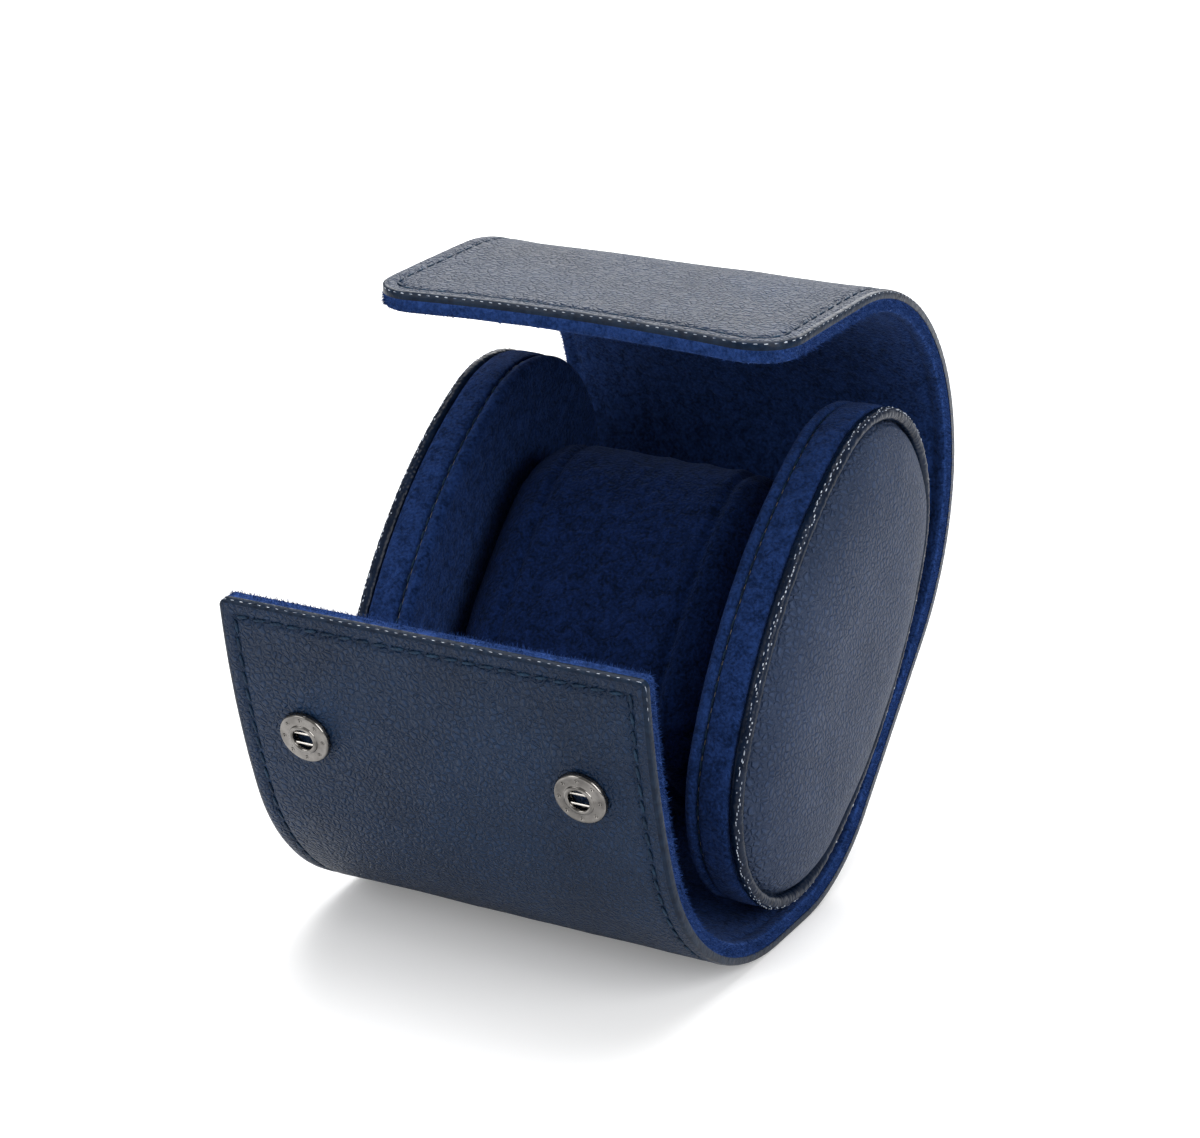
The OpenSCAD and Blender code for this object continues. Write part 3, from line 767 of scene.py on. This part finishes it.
# Sections as pairs: inset from the oval, and distance from the middle of the roll
cover_section = rounded_profile([
    (27.9, 31.0), (20, 31.0), (8, 31.05), (3.2, 31.1), (1.2, 31.35), (0.25, 32.3), (0.45, 33.4), (1.25, 34.0),
    (0.4, 34.55), (0.12, 35.6), (0.05, 37.5), (0.15, 39.6), (1.0, 40.35), (4, 40.6), (27.9, 40.6)])
pad_section = rounded_profile([
    (27.9, 47.45), (22, 47.35), (16, 46.95), (11, 46.1), (7.2, 44.9), (4.6, 43.3), (3.3, 41.9), (2.85, 40.9),
    (3.6, 40.62), (27.9, 40.62)])


def toward_middle(u, inset, out, side):
    """As cap_point, but the innermost points run together on the long axis."""
    if inset < OVAL_MIDDLE - 1e-6:
        return cap_point(u, inset, out, side)
    a = oval(u, inset)[0]
    place = CAP_CENTRE + LONG_AXIS * a
    place.x = side * out
    return place


def cover_place(side):
    def place(u, v):
        inset, out = along_section(cover_section, v)
        if inset < 3 * MM:
            turn = 2 * math.pi * u
            inset += 0.12 * MM * abs(noise.noise(Vector((math.cos(turn) * 9, math.sin(turn) * 9, out * 300))))
        return toward_middle(u, max(0.0, inset), out, side)
    return place


def pad_place(side):
    def place(u, v):
        inset, out = along_section(pad_section, v)
        here = toward_middle(u, inset, out, side)
        if out > PAD_LOW + 0.5 * MM:
            here.x -= side * 0.28 * MM * abs(noise.noise(here * 70))
        return here
    return place


def rim_place(side):
    """The rolled edge: a round bead of leather with creases across it from being drawn round the oval."""
    def place(u, v):
        angle = 2 * math.pi * v
        round_about = Vector((math.cos(2 * math.pi * u), math.sin(2 * math.pi * u), 0))
        crease = abs(noise.noise(round_about * 38 + Vector((0, 0, angle * 0.9))))
        fine = abs(noise.noise(round_about * 110 + Vector((0, 0, angle * 1.6))))
        radius = RIM_RADIUS - 0.14 * MM * (1 - crease) ** 4 - 0.07 * MM * fine
        inset = RIM_RADIUS + 0.02 * MM - radius * math.cos(angle)
        return cap_point(u, inset, RIM_MIDDLE + radius * math.sin(angle), side)
    return place


def rim_glint_places(side):
    """Pale beads scattered in a band along the bead's outward side: painted glints on the rolled rim."""
    places = []
    count = round(OVAL_LENGTH / RIM_GLINT_PITCH)
    reach = RIM_RADIUS - 0.06 * MM
    for step in range(count):
        angle = math.radians(8 + 44 * noise.random())
        u = (step + 0.7 * noise.random()) / count
        inset = RIM_RADIUS + 0.02 * MM - reach * math.cos(angle)
        out = RIM_MIDDLE + reach * math.sin(angle)
        places.append(cap_frame(u, inset, out, side) @ sized(0.14 + 0.25 * noise.random(), 0.11, 0.11))
    return places


def rim_material():
    """The same leather, stretched smooth and burnished where it is rolled."""
    material, tree, shader = new_material("rolled_leather")
    folds = object_noise(tree, 900.0, 3.0)
    add_bump(tree, shader, folds, 0.8, 0.12 * MM)
    colour = ramp(tree, object_noise(tree, 300.0), (0.002, 0.006, 0.017), (0.005, 0.012, 0.030), 0.3, 0.7)
    link(tree, colour, "Color", shader, "Base Color")
    shader.inputs["Specular IOR Level"].default_value = 0.14
    shader.inputs["Roughness"].default_value = 0.28
    return material


# The pads take the navy leather painted lighter and greyer: painted light on the caps' outer faces.
pad_leather = leather_material("pad_leather", (0.014, 0.029, 0.070), (0.024, 0.043, 0.094), 0.55, 0.22)
rolled_leather = rim_material()
for side, name in ((-1, "left_cap"), (1, "right_cap")):
    cover = finished(ring_form(AROUND, 140, cover_place(side)), name + "_suede", [blue_suede], 60)
    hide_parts(name + "_inner_panel", name + "_band", name + "_hoop")
    pad = finished(ring_form(AROUND, 90, pad_place(side)), name + "_pad", [pad_leather], 60)
    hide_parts(name + "_pad_leather", name + "_pad_foam")
    rim = finished(ring_form(AROUND * 3, 20, rim_place(side)), name + "_rolled_rim", [rolled_leather], 80)
    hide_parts(name + "_rim")
    count = round(OVAL_LENGTH / SEAM_PITCH)
    seam_places = [cap_frame(step / count, SEAM_INSET, SEAM_PLACE, side) @ sized(1.1, 0.24, 0.24)
                   for step in range(count)]
    seam = finished(copies(unit_ball, seam_places), name + "_seam_stitches", [navy_thread])
    # Painted glints along the cap's rim, in the pale bead finish.
    rim_glints = finished(copies(unit_ball, rim_glint_places(side)), name + "_rim_glints", [painted_glints])
    for piece in (cover, pad, rim, seam, rim_glints):
        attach(piece, "case")

# Cushion
# A suede pillow that slips out between the caps: a sleeve round a foam core, with gathered ends.
# Two seams join the sleeve to its ends, and nothing fixes it to the case.
CUSHION_LONG, CUSHION_FRONT, CUSHION_BACK = 32.5 * MM, 20.5 * MM, -31.9 * MM
CUSHION_HALF_WIDTH, SLEEVE_HALF_WIDTH, END_DRAW = 29 * MM, 18 * MM, 11 * MM
CUSHION_POWER = 2 / 3.2
SLEEVE_SHARE = 0.74
SEAM_PULL, CUSHION_BULGE = 0.9 * MM, 0.5 * MM


def squared(value):
    """Turns a circle's cosine or sine into those of a rounded square."""
    return math.copysign(abs(value) ** CUSHION_POWER, value)


def cushion_place(u, v):
    """Round the pillow's section, then along its width and in over both ends to the middle."""
    angle = 2 * math.pi * u
    share = 2 * v - 1
    if abs(share) < SLEEVE_SHARE:
        x = share / SLEEVE_SHARE * CUSHION_HALF_WIDTH
        shrink = 1.0
    else:
        over = (abs(share) - SLEEVE_SHARE) / (1 - SLEEVE_SHARE)
        bulge = CUSHION_BULGE * (math.sin(over * math.pi / 2) - over)
        x = math.copysign(CUSHION_HALF_WIDTH + bulge, share)
        shrink = 1 - over
    beyond = max(0.0, abs(x) - SLEEVE_HALF_WIDTH) / (CUSHION_HALF_WIDTH - SLEEVE_HALF_WIDTH)
    draw = END_DRAW * (1 - math.sqrt(max(0.0, 1 - min(1.0, beyond) ** 2)))
    seam = SEAM_PULL * math.exp(-((abs(x) - SLEEVE_HALF_WIDTH) / (0.9 * MM)) ** 2)
    direction = Vector((math.cos(angle), math.sin(angle), x * 55))
    slack = 0.55 * MM * abs(noise.noise(direction * 2.3))
    slack += 0.8 * MM * beyond * abs(noise.noise(direction * 6))
    take = draw + seam + slack
    long_half = (CUSHION_LONG - take) * shrink
    short_half = ((CUSHION_FRONT - CUSHION_BACK) / 2 - take) * shrink
    short_middle = (CUSHION_FRONT + CUSHION_BACK) / 2
    place = (CAP_CENTRE + LONG_AXIS * long_half * squared(math.cos(angle))
             + FRONT_AXIS * (short_middle + short_half * squared(math.sin(angle))))
    place.x = x
    return place


# The same suede painted about half as bright: painted shade on the pillow sunk between the caps.
shaded_cushion_suede = suede_material("shaded_cushion_suede", (0.0012, 0.005, 0.020), (0.006, 0.018, 0.078))
cushion = finished(ring_form(240, 150, cushion_place), "cushion_pillow", [shaded_cushion_suede], 70)
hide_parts("cushion_cover", "cushion_ends", "cushion_core")
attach(cushion, "cushion")

# Snap sockets
# Turned and plated ring snaps, 10.4 mm across: a round collar about the hole, a flat with eight
# small dimples and a rolled outer edge. An eyelet from inside the flap is spread in each.
SOCKET_X = 28.3 * MM
SOCKET_FROM_EDGE = 26 * MM
FLAT_HEIGHT = 1.0 * MM
DIMPLES, DIMPLE_CIRCLE, DIMPLE_RADIUS, DIMPLE_DEPTH = 8, 4.05 * MM, 0.30 * MM, 0.34 * MM
# Section as pairs: radius, and height above the leather
socket_section = rounded_profile([
    (2.05, 0.02), (2.05, 0.9), (2.15, 1.42), (2.5, 1.62), (2.9, 1.45), (3.12, 1.18), (4.0, 1.12), (4.7, 1.16),
    (5.02, 0.98), (5.18, 0.5), (5.15, 0.05), (4.6, 0.02), (2.05, 0.02)])


def metal_material(name, low, high, roughness):
    """Plated metal with faint wear and polishing marks."""
    material, tree, shader = new_material(name)
    colour = ramp(tree, object_noise(tree, 400.0, 4.0), low, high, 0.3, 0.7)
    link(tree, colour, "Color", shader, "Base Color")
    rub = add_node(tree, "ShaderNodeMapRange")
    rub.inputs["To Min"].default_value = roughness - 0.06
    rub.inputs["To Max"].default_value = roughness + 0.10
    marks = object_noise(tree, 1500.0, 3.0)
    link(tree, marks, "Fac", rub, "Value")
    link(tree, rub, "Result", shader, "Roughness")
    add_bump(tree, shader, marks, 0.15, 0.03 * MM)
    shader.inputs["Metallic"].default_value = 1.0
    return material


def board_material():
    material, tree, shader = new_material("grey_board")
    colour = ramp(tree, object_noise(tree, 600.0, 5.0), (0.18, 0.16, 0.13), (0.30, 0.27, 0.22), 0.3, 0.7)
    link(tree, colour, "Color", shader, "Base Color")
    shader.inputs["Roughness"].default_value = 0.9
    return material


dark_nickel = metal_material("dark_nickel", (0.12, 0.114, 0.108), (0.25, 0.238, 0.225), 0.15)


def socket_place(side):
    """Round the ring, then along its section, with the dimples pressed into its flat."""
    on_flap = frame_at(side * SOCKET_X, FRONT_END + SOCKET_FROM_EDGE, (0, 1), 0.02 * MM)

    def place(u, v):
        radius, height = along_section(socket_section, v)
        turn = 2 * math.pi * u
        nearest = round(u * DIMPLES) / DIMPLES * 2 * math.pi
        if height > FLAT_HEIGHT:
            apart = math.hypot(radius - DIMPLE_CIRCLE, radius * (turn - nearest))
            height -= DIMPLE_DEPTH * math.exp(-(apart / DIMPLE_RADIUS) ** 4)
        return on_flap @ Vector((radius * math.cos(turn), radius * math.sin(turn), height))
    return place


for side, name in ((-1, "left_socket"), (1, "right_socket")):
    socket = finished(ring_form(320, 96, socket_place(side)), name, [dark_nickel], 50)
    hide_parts("snap_sockets")
    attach(socket, "front_flap")

# Other metal and hidden boards
# Spring wires and eyelets of the sockets, and the studs and rivets under the top flap, keep the
# frame's own shape, as do the grey boards inside the caps, which nothing shows.
spring_steel = metal_material("spring_steel", (0.46, 0.44, 0.41), (0.62, 0.59, 0.55), 0.2)
grey_board = board_material()
NODE_FINISH = {
    "socket_eyelets": dark_nickel, "snap_studs": dark_nickel,
    "stud_rivets": dark_nickel, "socket_springs": spring_steel,
    "left_cap_inner_board": grey_board, "left_cap_outer_board": grey_board,
    "right_cap_inner_board": grey_board, "right_cap_outer_board": grey_board,
}
for name, finish in NODE_FINISH.items():
    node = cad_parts[name]
    node.data.materials.clear()
    node.data.materials.append(finish)
